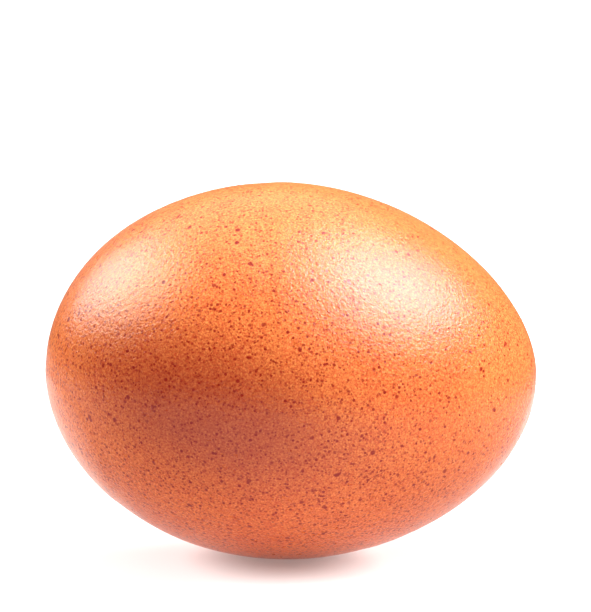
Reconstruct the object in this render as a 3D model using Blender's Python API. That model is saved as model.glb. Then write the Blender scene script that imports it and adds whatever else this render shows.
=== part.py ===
"""A brown hen's egg lying on its side, as one solid.

The origin is the middle of the small flat spot that the egg rests on, straight
under its centre of mass. +Z is up, and +X runs along the egg to its pointed end.
The egg balances with its pointed end a little low, as a real one does.
"""

from math import atan2, pi

import bmesh
import bpy
import numpy as np
from mathutils import Matrix, Vector

# Driving dimensions, in metres
LENGTH = 0.0575
WAIST_RADIUS = 0.0221  # of the ellipse that the outline starts from
RESTING_SPOT_DEPTH = 0.0003  # how much of the round underside the flat spot takes off

# How the outline leaves that ellipse, by powers of the cosine along the egg
TAPER = -0.0483  # slims the pointed end and fills the blunt one
SLIMMING = -0.0514  # slims both ends alike
TIP_TAPER = -0.0104  # as TAPER, but mostly near the two tips

# How finely the surface is divided
RINGS = 46
SEGMENTS = 72
BALANCE_STEPS = 4000
MERGE_DISTANCE = 1e-6

SHELL_COLOUR = (0.60, 0.20, 0.07, 1.0)
SHELL_ROUGHNESS = 0.42


def outline(angle):
    """The distance along the egg and the radius there, from 0 at the pointed tip to pi at the blunt one."""
    c = np.cos(angle)
    swell = 1 + TAPER * c + SLIMMING * c**2 + TIP_TAPER * c**3
    return LENGTH / 2 * c, WAIST_RADIUS * np.sin(angle) * swell


def resting_contact():
    """Finds where the egg touches a level surface that it lies still on.

    That is where the line from its centre of mass meets the surface square on.
    Returns the distance along the egg, the radius there and the outline's slope.
    """
    along, radius = outline(np.linspace(pi, 0, BALANCE_STEPS + 1))
    step = np.diff(along)
    mean_along = (along[1:] + along[:-1]) / 2
    mean_radius = (radius[1:] + radius[:-1]) / 2
    slope = np.diff(radius) / step
    weight = mean_radius**2 * step
    centre_of_mass = (mean_along * weight).sum() / weight.sum()
    off_square = np.abs(mean_along - centre_of_mass + mean_radius * slope)
    off_square[np.abs(mean_along) > LENGTH / 4] = LENGTH  # it can't balance on its tips
    contact = off_square.argmin()
    return float(mean_along[contact]), float(mean_radius[contact]), float(slope[contact])


def spin_shell(bm):
    """Spins the outline about the X axis into a closed egg."""
    points = []
    for ring in range(RINGS + 1):
        along, radius = outline(pi * (1 - ring / RINGS))
        at_a_tip = ring in (0, RINGS)
        points.append(bm.verts.new((along, 0, 0 if at_a_tip else -radius)))
    edges = [bm.edges.new(pair) for pair in zip(points, points[1:])]
    bmesh.ops.spin(
        bm, geom=points + edges, axis=(1, 0, 0), cent=(0, 0, 0), angle=2 * pi, steps=SEGMENTS
    )
    bmesh.ops.remove_doubles(bm, verts=bm.verts, dist=MERGE_DISTANCE)


def lay_down(bm):
    """Turns the egg until the spot it balances on faces straight down, and sets it over the origin."""
    along, radius, slope = resting_contact()
    tilt = Matrix.Rotation(-atan2(slope, 1), 4, "Y")
    contact = tilt @ Vector((along, 0, -radius))
    bm.transform(Matrix.Translation(-contact - Vector((0, 0, RESTING_SPOT_DEPTH))) @ tilt)


def cut_resting_spot(bm):
    """Takes off what is below the floor, and closes the cut with one flat face."""
    everything = bm.verts[:] + bm.edges[:] + bm.faces[:]
    cut = bmesh.ops.bisect_plane(
        bm, geom=everything, plane_co=(0, 0, 0), plane_no=(0, 0, -1), clear_outer=True
    )
    rim = [part for part in cut["geom_cut"] if isinstance(part, bmesh.types.BMEdge)]
    spot = bmesh.ops.contextual_create(bm, geom=rim)["faces"]
    bmesh.ops.recalc_face_normals(bm, faces=bm.faces)
    for face in bm.faces:
        face.smooth = face not in spot


def make_shell_material():
    material = bpy.data.materials.new("eggshell")
    material.use_nodes = True
    shader = material.node_tree.nodes["Principled BSDF"]
    shader.inputs["Base Color"].default_value = SHELL_COLOUR
    shader.inputs["Roughness"].default_value = SHELL_ROUGHNESS
    shader.inputs["Metallic"].default_value = 0.0
    return material


def make_egg():
    bm = bmesh.new()
    spin_shell(bm)
    lay_down(bm)
    cut_resting_spot(bm)
    mesh = bpy.data.meshes.new("egg")
    bm.to_mesh(mesh)
    bm.free()
    mesh.materials.append(make_shell_material())
    egg = bpy.data.objects.new("egg", mesh)
    bpy.context.scene.collection.objects.link(egg)


for leftover in list(bpy.data.objects):
    bpy.data.objects.remove(leftover, do_unlink=True)
make_egg()
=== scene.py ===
# %% [markdown]
# # A brown hen's egg
# The whole object is one closed shell lying on its side. The CAD model gives its true
# shape and place. This lesson wraps a fine skin round that shape, gives the skin its
# shallow relief, paints the speckled brown shell with nodes, and lights it softly.

# %% Load the CAD model and keep its box
from math import cos, radians, sin

import bpy
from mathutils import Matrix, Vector


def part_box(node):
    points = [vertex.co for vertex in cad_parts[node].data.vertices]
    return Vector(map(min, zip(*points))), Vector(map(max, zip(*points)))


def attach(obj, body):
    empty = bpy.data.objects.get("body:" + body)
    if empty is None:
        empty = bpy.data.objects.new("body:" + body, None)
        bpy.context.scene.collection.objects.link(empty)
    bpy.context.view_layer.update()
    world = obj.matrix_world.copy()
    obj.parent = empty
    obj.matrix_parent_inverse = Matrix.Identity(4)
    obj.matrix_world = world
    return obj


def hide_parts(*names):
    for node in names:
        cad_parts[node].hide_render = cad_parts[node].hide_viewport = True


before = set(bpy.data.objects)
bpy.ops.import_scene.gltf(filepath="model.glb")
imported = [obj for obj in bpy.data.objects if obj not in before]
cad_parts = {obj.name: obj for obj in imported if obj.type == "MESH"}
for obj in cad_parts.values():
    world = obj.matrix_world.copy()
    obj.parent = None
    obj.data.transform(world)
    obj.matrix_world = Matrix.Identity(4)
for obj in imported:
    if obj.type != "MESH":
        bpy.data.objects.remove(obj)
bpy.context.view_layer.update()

egg_low, egg_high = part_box("egg")
egg_centre = (egg_low + egg_high) / 2
egg_size = egg_high - egg_low
print("CAD egg, mm:", [round(1000 * side, 2) for side in egg_size])

# %% [markdown]
# ## Picking what an operator acts on
# Operators act on whatever is selected, and loading leaves the CAD nodes selected. So
# each step starts from nothing selected, and picks its own object, faces or points.


# %% Selecting by code
def pick_only(piece):
    if bpy.context.object and bpy.context.object.mode != "OBJECT":
        bpy.ops.object.mode_set(mode="OBJECT")
    bpy.ops.object.select_all(action="DESELECT")
    piece.select_set(True)
    bpy.context.view_layer.objects.active = piece


def pick_points(piece, wanted):
    """Selects, in edit mode, only the points of the piece whose place passes the test wanted."""
    pick_only(piece)
    bpy.ops.object.mode_set(mode="EDIT")
    bpy.ops.mesh.select_mode(type="VERT")
    bpy.ops.mesh.select_all(action="DESELECT")
    bpy.ops.object.mode_set(mode="OBJECT")
    picked = 0
    for point in piece.data.vertices:
        point.select = wanted(point.co)
        picked += point.select
    bpy.ops.object.mode_set(mode="EDIT")
    return picked


def apply_modifier(piece, kind, **settings):
    pick_only(piece)
    modifier = piece.modifiers.new(kind.title(), kind)
    for name, value in settings.items():
        setattr(modifier, name, value)
    bpy.ops.object.modifier_apply(modifier=modifier.name)


def subdivide(piece, times):
    """Splits each face in four this many times and rounds the form, but leaves its flat map alone."""
    apply_modifier(piece, "SUBSURF", levels=times, render_levels=times, uv_smooth="NONE")


# %% [markdown]
# ## A smooth form to wrap
# The CAD egg is right in size but made of flat triangles about 2 mm across, which would
# show in the gloss. A copy of it is merged, turned back into four-sided faces and
# subdivided, which rounds it. It is only a guide: once the shell has been wrapped on it,
# it is removed.

# %% The guide
MERGE_DISTANCE = 1e-6
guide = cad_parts["egg"].copy()
guide.data = guide.data.copy()
guide.parent = None
bpy.context.scene.collection.objects.link(guide)
pick_only(guide)
bpy.ops.object.mode_set(mode="EDIT")
bpy.ops.mesh.select_all(action="SELECT")
bpy.ops.mesh.remove_doubles(threshold=MERGE_DISTANCE)
bpy.ops.mesh.tris_convert_to_quads()
bpy.ops.object.mode_set(mode="OBJECT")
subdivide(guide, 2)
print("guide faces:", len(guide.data.polygons))

# %% [markdown]
# ## The shell starts as a cube
# A globe's poles pinch the gloss at the two ends of an egg. A cube that is subdivided
# and cast into a ball has no poles: it is six even patches of four-sided faces.
#
# Before it is rounded, each of its six sides gets its own place on a flat map, in three
# columns and two rows with thin gaps. The map is only for carrying the paint to other
# programs. Each place is taller than it is wide, so on the four long sides the way along
# the egg runs up it.

# %% A cube with a map
X, Y, Z = 0, 1, 2
COLUMNS, ROWS = 3, 2
MAP_GAP = 0.004


def across_and_up(normal):
    """Which axis runs across, and which runs up, the place of the side that faces along normal."""
    if abs(normal.x) > 0.5:
        return Y, Z
    if abs(normal.y) > 0.5:
        return Z, X
    return Y, X


bpy.ops.object.select_all(action="DESELECT")
bpy.ops.mesh.primitive_cube_add(size=1, calc_uvs=False)
shell = bpy.context.object
shell.name = "shell"
paint_map = shell.data.uv_layers.new(name="OFBake")
for side, face in enumerate(shell.data.polygons):
    column, row = side % COLUMNS, side // COLUMNS
    across, up = across_and_up(face.normal)
    for corner in face.loop_indices:
        place = shell.data.vertices[shell.data.loops[corner].vertex_index].co
        u = (place[across] + 0.5) * (1 / COLUMNS - 2 * MAP_GAP) + column / COLUMNS + MAP_GAP
        v = (place[up] + 0.5) * (1 / ROWS - 2 * MAP_GAP) + row / ROWS + MAP_GAP
        paint_map.data[corner].uv = (u, v)
print("sides on the map:", len(shell.data.polygons))

# %% [markdown]
# ## The cube becomes a ball, and the ball an egg
# Cast pushes every point of the subdivided cube out to a ball, which is then stretched to
# the egg's length, breadth and height. Shrinkwrap lays each point on the nearest place of
# the guide. Rounding drew the guide in a little, by a few hundredths of a millimetre, so
# the shell is laid that much outside it and comes out at the true size.

# %% A ball wrapped on the guide
LIFT_OFF_GUIDE = 0.00005
subdivide(shell, 5)
apply_modifier(shell, "CAST", cast_type="SPHERE", factor=1.0, radius=0.5, use_radius_as_size=True)
pick_only(shell)
bpy.ops.object.mode_set(mode="EDIT")
bpy.ops.mesh.select_all(action="SELECT")
bpy.ops.transform.resize(value=egg_size)
bpy.ops.transform.translate(value=egg_centre)
bpy.ops.object.mode_set(mode="OBJECT")
apply_modifier(
    shell, "SHRINKWRAP", target=guide, wrap_method="NEAREST_SURFACEPOINT", offset=LIFT_OFF_GUIDE)
subdivide(shell, 2)
bpy.data.objects.remove(guide)
print("shell faces:", len(shell.data.polygons))

# %% [markdown]
# ## The relief of the shell
# No egg is a perfect form. The shell swells and dips by a few hundredths of a millimetre
# over a centimetre, and its surface has a fine orange-peel ripple. Both are real relief,
# so both are made in the mesh: each Displace modifier moves the points along their
# normals by a cloud texture of the right size. Sizes and depths are in metres.


# %% Two sizes of ripple
def roughen(piece, name, size, depth):
    ripple = bpy.data.textures.new(name, "CLOUDS")
    ripple.noise_scale = size
    ripple.noise_depth = 0
    ripple.noise_basis = "ORIGINAL_PERLIN"
    apply_modifier(
        piece, "DISPLACE", texture=ripple, texture_coords="LOCAL", strength=depth, mid_level=0.5)


roughen(shell, "slow_swell", size=0.009, depth=0.00010)
roughen(shell, "orange_peel", size=0.0010, depth=0.000014)
shell.data.shade_smooth()
print("points rippled:", len(shell.data.vertices))

# %% [markdown]
# ## The spot it rests on
# The CAD egg has a small flat spot, so that it stands still. The ripple must not stick
# out of it, so all points within a few hundredths of a millimetre of the table are
# scaled to nothing in height, which presses them flat on it.

# %% A flat foot
FOOT_HEIGHT = 0.00004
pressed = pick_points(shell, lambda place: place.z < FOOT_HEIGHT)
bpy.ops.transform.resize(value=(1, 1, 0), center_override=(0, 0, 0))
bpy.ops.object.mode_set(mode="OBJECT")
print("points pressed flat:", pressed)

# %% [markdown]
# ## The floor
# The egg lies on plain white paper.

# %% A sheet of paper
FLOOR_SIDE = 20
bpy.ops.object.select_all(action="DESELECT")
bpy.ops.mesh.primitive_plane_add(size=FLOOR_SIDE)
floor = bpy.context.object
floor.name = "floor"
print("floor side, m:", FLOOR_SIDE)

# %% [markdown]
# ## Wiring nodes
# A material is a net of small nodes. A few helpers keep each node to one line: add_node
# adds any of them, work_out a sum, rescale a change of range, lay_over a coat of paint. A
# value given to them may be a plain number, or a socket, which is then linked.


# %% Node helpers
def add_node(tree, kind, settings=None, **values):
    made = tree.nodes.new("ShaderNode" + kind)
    for name, value in (settings or {}).items():
        setattr(made, name, value)
    for name, value in values.items():
        feed(tree, made.inputs[name.replace("_", " ")], value)
    return made


def feed(tree, socket, value):
    if isinstance(value, bpy.types.NodeSocket):
        tree.links.new(value, socket)
    else:
        socket.default_value = value


def work_out(tree, operation, *values, clamp=False):
    made = tree.nodes.new("ShaderNodeMath")
    made.operation = operation
    made.use_clamp = clamp
    for socket, value in zip(made.inputs, values):
        feed(tree, socket, value)
    return made.outputs[0]


def rescale(tree, value, low, high, to_low, to_high, kind="SMOOTHSTEP"):
    made = add_node(tree, "MapRange", {"interpolation_type": kind}, Value=value)
    bounds = {"From Min": low, "From Max": high, "To Min": to_low, "To Max": to_high}
    for name, bound in bounds.items():
        feed(tree, made.inputs[name], bound)
    return made.outputs["Result"]


def lay_over(tree, amount, under, over, blend="MIX"):
    """Paints the colour over on the colour under, as thickly as amount says.

    A Mix node has several sockets called A, B and Result, so its colour sockets go by number.
    """
    made = add_node(tree, "Mix", {"data_type": "RGBA", "blend_type": blend})
    for number, value in ((0, amount), (6, under), (7, over)):
        feed(tree, made.inputs[number], value)
    return made.outputs[2]


# %% [markdown]
# ## Where the paint sits
# A pattern needs a place to start from. The shell's own coordinates are used, scaled to
# millimetres, so every size below can be read as a real one. Clouds are the soft random
# patches that nature is full of. Shifting a place by a small cloud makes round cells
# come out uneven, as nothing on an egg is a perfect circle.

# %% The eggshell material and its coordinates
def paint(red, green, blue):
    return (red, green, blue, 1.0)


eggshell = bpy.data.materials.new("eggshell")
eggshell.use_nodes = True
tree = eggshell.node_tree
skin = tree.nodes["Principled BSDF"]

spot = add_node(tree, "TexCoord").outputs["Object"]
enlarged = add_node(tree, "VectorMath", {"operation": "SCALE"}, Vector=spot, Scale=1000)
millimetres = enlarged.outputs["Vector"]


def clouds(place, size, detail, rough=0.5, lean=0.0):
    noise = add_node(
        tree, "TexNoise", Vector=place, Scale=1 / size, Detail=detail, Roughness=rough, Distortion=lean)
    return noise.outputs["Fac"]


def shift(place, amount, size):
    """Moves a place about by up to half of amount, so that round things on it come out uneven."""
    noise = add_node(tree, "TexNoise", Vector=place, Scale=1 / size, Detail=1.0)
    centred = add_node(tree, "VectorMath", {"operation": "SUBTRACT"})
    feed(tree, centred.inputs[0], noise.outputs["Color"])
    centred.inputs[1].default_value = (0.5, 0.5, 0.5)
    moved = add_node(tree, "VectorMath", {"operation": "MULTIPLY_ADD"})
    feed(tree, moved.inputs[0], centred.outputs["Vector"])
    moved.inputs[1].default_value = (amount, amount, amount)
    feed(tree, moved.inputs[2], place)
    return moved.outputs["Vector"]


print("coordinate nodes:", len(tree.nodes))

# %% [markdown]
# ## The ground colour
# A brown egg gets its colour in the last hours before it is laid: a thin coat of
# red-brown pigment over white chalk. Seen close, the coat is uneven. It is thin and
# golden on the tops of tiny chalk grains a third of a millimetre across, and deeper and
# redder in the pores between them. So two paints are mixed, about half by the distance to
# the nearest grain and half by a fine cloud. A slow drift, a centimetre or so from one
# patch to the next, keeps the two ends of the egg from looking the same. A cloud seldom
# strays far from a half, so rescale stretches the middle of its range.

# %% Grains and pores
PALE = paint(0.76, 0.205, 0.047)
DEEP = paint(0.47, 0.054, 0.013)
GRAIN_SPACING = 0.32
FINEST = 0.19
DRIFT_SIZE = 13
GRAIN_SHARE = 0.45
fine = rescale(tree, clouds(millimetres, FINEST, 2, 0.65), 0.37, 0.65, 0, 1, "LINEAR")
packed = add_node(tree, "TexVoronoi", Vector=shift(millimetres, 0.12, 0.22), Scale=1 / GRAIN_SPACING)
grains = rescale(tree, packed.outputs["Distance"], 0.1, 0.62, 1.0, 0.0, "LINEAR")
coarse = work_out(tree, "MULTIPLY", grains, GRAIN_SHARE)
mottle = work_out(tree, "MULTIPLY_ADD", fine, 1 - GRAIN_SHARE, coarse)
drift = rescale(tree, clouds(millimetres, DRIFT_SIZE, 2), 0.35, 0.65, -0.06, 0.06, "LINEAR")
coat = lay_over(tree, work_out(tree, "ADD", mottle, drift, clamp=True), DEEP, PALE)
print("ground colour nodes:", len(tree.nodes))

# %% [markdown]
# ## Painted shade on the blunt half
# The front of the blunt half is painted darker in a broad soft patch: painted shade for the
# dim band where little light falls. A Mapping node puts a ball of fading strength at that
# place, longer than it is high and a little tilted, and the ground colour is multiplied by
# a brown. Places and sizes are in millimetres, and the tilt is in radians.

# %% Painted shade on the blunt half
SHADE_PLACE = (-9, -20, 21.5)
SHADE_REACH = (25, 28, 12)
SHADE_TILT = 0.3
PAINTED_SHADE_BROWN = paint(0.665, 0.505, 0.60)
patch = add_node(
    tree, "Mapping", {"vector_type": "TEXTURE"},
    Vector=millimetres, Location=SHADE_PLACE, Rotation=(0, SHADE_TILT, 0), Scale=SHADE_REACH)
fade = add_node(tree, "TexGradient", {"gradient_type": "SPHERICAL"}, Vector=patch.outputs["Vector"])
painted_shade_strength = rescale(tree, fade.outputs["Fac"], 0.0, 0.8, 0.0, 1.0)
# Painted shade: the ground colour is multiplied by a brown on the front of the blunt half.
coat = lay_over(tree, painted_shade_strength, coat, PAINTED_SHADE_BROWN, "MULTIPLY")
print("with the patch:", len(tree.nodes))

# %% [markdown]
# ## Where specks crowd
# Drops of dark pigment dot the whole shell. They crowd together in places, and there are
# more of them round the blunt half and the belly than on the top of the pointed half. So
# the chance of a speck is a soft cloud, thinned out along a slanting direction.

# %% Crowding
UP_AND_TIPWARD = (0.8, 0, 0.6)
CLUMP_SIZE = 8
along = add_node(tree, "VectorMath", {"operation": "DOT_PRODUCT"})
feed(tree, along.inputs[0], millimetres)
along.inputs[1].default_value = UP_AND_TIPWARD
thinning = rescale(tree, along.outputs["Value"], 8, 31, 1.15, 0.35, "LINEAR")
clumps = rescale(tree, clouds(millimetres, CLUMP_SIZE, 1), 0.35, 0.65, 0.65, 1.35)
crowding = work_out(tree, "MULTIPLY", clumps, thinning)
print("with the crowding:", len(tree.nodes))

# %% [markdown]
# ## Specks
# There are three kinds: a pepper of faint pinpoints, plain dots under half a millimetre
# across, and a few blots half as wide again. A Voronoi texture splits space into cells
# with one dot each. The random colour of a cell decides whether its dot is there, how
# wide it is and how strong. Each dot is darkest in the middle and has a soft edge.


# %% A layer of specks
def specks(place, spacing, smallest, largest, share, weakest):
    """How dark a layer of specks is at each place. Sizes are radii in millimetres."""
    cells = add_node(tree, "TexVoronoi", Vector=place, Scale=1 / spacing)
    chance = add_node(tree, "SeparateColor", Color=cells.outputs["Color"])
    narrow, wide = smallest / spacing, largest / spacing
    radius = rescale(tree, chance.outputs["Green"], 0, 1, narrow, wide, "LINEAR")
    reach = work_out(tree, "DIVIDE", cells.outputs["Distance"], radius)
    inside = rescale(tree, reach, 1.0, 0.6, 0.0, 1.0)
    likely = work_out(tree, "MULTIPLY", crowding, share)
    present = work_out(tree, "LESS_THAN", chance.outputs["Red"], likely)
    strength = rescale(tree, chance.outputs["Blue"], 0, 1, weakest, 1.0, "LINEAR")
    return work_out(tree, "MULTIPLY", work_out(tree, "MULTIPLY", inside, present), strength)


# %% Three kinds of specks
SPECK = paint(0.20, 0.002, 0.001)
uneven = shift(millimetres, 0.16, 0.30)
pepper = specks(uneven, 0.38, smallest=0.11, largest=0.17, share=1.0, weakest=0.2)
dots = specks(uneven, 0.58, smallest=0.15, largest=0.25, share=1.0, weakest=0.45)
blots = specks(uneven, 1.4, smallest=0.22, largest=0.38, share=0.28, weakest=0.8)
for layer, strongest in ((pepper, 0.85), (dots, 0.95), (blots, 0.97)):
    coat = lay_over(tree, work_out(tree, "MULTIPLY", layer, strongest), coat, SPECK)
feed(tree, skin.inputs["Base Color"], coat)
print("with the specks:", len(tree.nodes))

# %% [markdown]
# ## The bloom
# A fresh egg has a dry coat called the bloom, with a soft silky gloss. The shine is weak
# and broad, and its width changes a little from place to place, so the roughness comes
# from a cloud. The ripple in the mesh is a millimetre long. The finer wrinkles, under
# half a millimetre, are too small to see as a shape and go in as a bump. A touch of
# sheen gives the edges a powdery look.

# %% Gloss and wrinkles
dryness = rescale(tree, clouds(millimetres, 1.4, 3), 0.3, 0.7, 0.27, 0.34, "LINEAR")
feed(tree, skin.inputs["Roughness"], dryness)
skin.inputs["Specular IOR Level"].default_value = 0.28
skin.inputs["Sheen Weight"].default_value = 0.08
skin.inputs["Sheen Roughness"].default_value = 0.3
skin.inputs["Sheen Tint"].default_value = paint(1.0, 0.85, 0.8)
WRINKLE_HEIGHT = 0.00007
wrinkles = clouds(millimetres, 0.42, 1, 0.5, lean=0.6)
bump = add_node(tree, "Bump", Height=wrinkles, Distance=WRINKLE_HEIGHT, Strength=1.0)
feed(tree, skin.inputs["Normal"], bump.outputs["Normal"])
shell.data.materials.append(eggshell)
print("material:", shell.data.materials[0].name, "with", len(tree.nodes), "nodes")

# %% [markdown]
# ## The paper
# White paper under strong light is as bright as the picture can show. It also glows a
# little of itself, in a warm white: this stands in for light that bounces back and forth
# between paper and egg, and keeps the shadow from going black.
#
# The lamps don't fade with distance, so their falloff is painted: an arm's length past the
# egg the paper's colour and glow darken with distance, and far off it is a pale grey. From
# low down, that gives the bright top of the egg something to stand out against.

# %% White paper
WHITE = paint(0.62, 0.62, 0.62)
PAINTED_FALLOFF_GREY = paint(0.268, 0.268, 0.268)
LIT_WITHIN = 0.62
FALLOFF = 3.0
GLOW = 0.25
paper = bpy.data.materials.new("paper")
paper.use_nodes = True
sheet = paper.node_tree.nodes["Principled BSDF"]
net = paper.node_tree
from_the_egg = add_node(net, "TexCoord").outputs["Object"]
away = add_node(net, "VectorMath", {"operation": "LENGTH"}, Vector=from_the_egg).outputs["Value"]
# Painted falloff of the light: the paper's colour and glow fade with distance from the egg.
nearness = work_out(net, "DIVIDE", LIT_WITHIN, away, clamp=True)
lit = work_out(net, "POWER", nearness, FALLOFF)
feed(net, sheet.inputs["Base Color"], lay_over(net, lit, PAINTED_FALLOFF_GREY, WHITE))
feed(net, sheet.inputs["Emission Strength"], work_out(net, "MULTIPLY", lit, GLOW))
sheet.inputs["Roughness"].default_value = 0.9
sheet.inputs["Specular IOR Level"].default_value = 0.0
sheet.inputs["Emission Color"].default_value = paint(1.0, 0.84, 0.80)
floor.data.materials.append(paper)
print("paper is full white within, m:", LIT_WITHIN)

# %% [markdown]
# ## Black cards
# White paper on all sides would leave a pale rim round the egg and wash out its front. In
# a studio, black cards stand round it, just out of view, for the shell to reflect
# instead. Here a ring does for the cards. The camera can't see it, and it casts no shadow.
# Its lower edge glows paper white, a painted reflection of the paper, and fades up to black,
# so no hard line shows in the gloss.

# %% A ring of cards
CARD_DISTANCE = 0.105
CARD_HEIGHT = 0.05
CARD_FADE = 0.014
PAPER_GLOW = 1.5
TO_THE_LEFT = 0.02
CLEAR_OF_PAPER = 0.0002
bpy.ops.object.select_all(action="DESELECT")
bpy.ops.mesh.primitive_cylinder_add(
    vertices=96, radius=CARD_DISTANCE, depth=CARD_HEIGHT, end_fill_type="NOTHING",
    location=(-TO_THE_LEFT, 0, CARD_HEIGHT / 2 + CLEAR_OF_PAPER))
cards = bpy.context.object
cards.name = "black_cards"
cards.visible_camera = False
cards.visible_shadow = False
card = bpy.data.materials.new("card")
card.use_nodes = True
felt = card.node_tree.nodes["Principled BSDF"]
felt.inputs["Base Color"].default_value = paint(0.01, 0.01, 0.01)
felt.inputs["Specular IOR Level"].default_value = 0.0
net = card.node_tree
on_card = add_node(net, "TexCoord").outputs["Object"]
level = add_node(net, "SeparateXYZ", Vector=on_card).outputs["Z"]
bottom = -CARD_HEIGHT / 2
# Painted reflection: the ring's lower edge glows paper white and fades up to black.
fading_up = rescale(net, level, bottom, bottom + CARD_FADE, PAPER_GLOW, 0.0)
feed(net, felt.inputs["Emission Strength"], fading_up)
felt.inputs["Emission Color"].default_value = paint(1, 1, 1)
cards.data.materials.append(card)
print("cards stand at, mm:", round(1000 * CARD_DISTANCE))

# %% [markdown]
# ## Soft light
# A softbox is a large white panel. Far away, it is the same as a sun lamp whose disc is
# many degrees wide, and that is simple to aim. In a studio, cards and flags keep each
# panel's light to the egg or to the paper. Light linking does that job here.
#
# The egg gets a broad key from the upper right, made of three panels, a smaller light
# from behind on the left, made of two, and a faint one over its back. The panels have
# blue and green gels, which hold back the strong red of the shell. The paper gets two low
# lights from the sides, which reach in under the egg and leave only a small shadow round
# the foot, and a dome of light from above.


# %% Softboxes
def softbox(name, azimuth, elevation, width, strength, lit, colour=(1, 1, 1)):
    """A broad far light that reaches only the object lit.

    The azimuth goes round from the viewer's side towards the right. It, the elevation and
    the width of the panel are in degrees.
    """
    lamp = bpy.data.lights.new(name, "SUN")
    lamp.energy = strength
    lamp.angle = radians(width)
    lamp.color = colour
    light = bpy.data.objects.new(name, lamp)
    bpy.context.scene.collection.objects.link(light)
    round_by, up_by = radians(azimuth), radians(elevation)
    towards = Vector((sin(round_by) * cos(up_by), -cos(round_by) * cos(up_by), sin(up_by)))
    light.rotation_euler = towards.to_track_quat("Z", "Y").to_euler()
    receivers = bpy.data.collections.new(name + "_lights")
    receivers.objects.link(lit)
    light.light_linking.receiver_collection = receivers


BLUE_GEL = (0.74, 0.98, 1.12)
COOL_GEL = (0.74, 1.0, 1.0)
CYAN_GEL = (0.76, 1.0, 1.06)
GREEN_GEL = (0.80, 1.0, 0.86)
softbox("key_high", 94, 53, 50, 6.4, shell, BLUE_GEL)
softbox("key_low", 64, 46, 48, 6.5, shell, BLUE_GEL)
softbox("key_top", 40, 76, 40, 1.0, shell, COOL_GEL)
softbox("left_wide", 238, 31, 38, 2.7, shell, CYAN_GEL)
softbox("left_core", 266, 40, 38, 4.0, shell, GREEN_GEL)
softbox("back_top", 190, 60, 60, 1.1, shell, COOL_GEL)

softbox("paper_right", 114, 18, 32, 12, floor)
softbox("paper_left", 256, 24, 34, 6.8, floor)
softbox("paper_dome", 0, 90, 170, 3.0, floor)
print("lights:", len(bpy.data.lights))

# %% [markdown]
# ## Beyond the paper
# Low views look past the paper's far edge. The world there has the same pale grey as the
# far paper, but only for the camera: it sends no light and shows in no gloss, so the
# softboxes keep control.

# %% A pale world
BACKDROP_GREY = 0.815
world = bpy.context.scene.world or bpy.data.worlds.new("studio")
bpy.context.scene.world = world
world.use_nodes = True
backdrop = world.node_tree.nodes["Background"]
backdrop.inputs["Color"].default_value = paint(1, 1, 1)
backdrop.inputs["Strength"].default_value = BACKDROP_GREY
world.cycles_visibility.diffuse = False
world.cycles_visibility.glossy = False
bpy.context.scene.view_settings.view_transform = "Standard"
print("backdrop:", BACKDROP_GREY)

# %% [markdown]
# ## The camera
# The egg is seen from the front and from a little above, with a long lens, so that it
# keeps its shape. The lens follows from the distance and from how much should be in view.

# %% The camera
VIEW_ELEVATION = radians(10)
VIEW_DISTANCE = 0.6
FRAME_HEIGHT = 0.0716
AIM_ABOVE = 0.00746
AIM_RIGHT = 0.00053
SENSOR = 36
camera = bpy.data.objects.new("camera", bpy.data.cameras.new("camera"))
bpy.context.scene.collection.objects.link(camera)
bpy.context.scene.camera = camera
upward = Vector((0, sin(VIEW_ELEVATION), cos(VIEW_ELEVATION)))
ahead = Vector((0, cos(VIEW_ELEVATION), -sin(VIEW_ELEVATION)))
aim = egg_centre + AIM_ABOVE * upward + Vector((AIM_RIGHT, 0, 0))
camera.location = aim - VIEW_DISTANCE * ahead
camera.rotation_euler = (radians(90) - VIEW_ELEVATION, 0, 0)
camera.data.sensor_width = SENSOR
camera.data.lens = SENSOR * VIEW_DISTANCE / FRAME_HEIGHT
camera.data.clip_start = 0.01
camera.data.clip_end = 50
print("lens, mm:", round(camera.data.lens))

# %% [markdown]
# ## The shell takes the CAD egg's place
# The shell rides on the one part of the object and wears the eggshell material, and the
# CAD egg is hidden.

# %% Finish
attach(shell, "root")
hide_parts("egg")
bpy.context.view_layer.update()
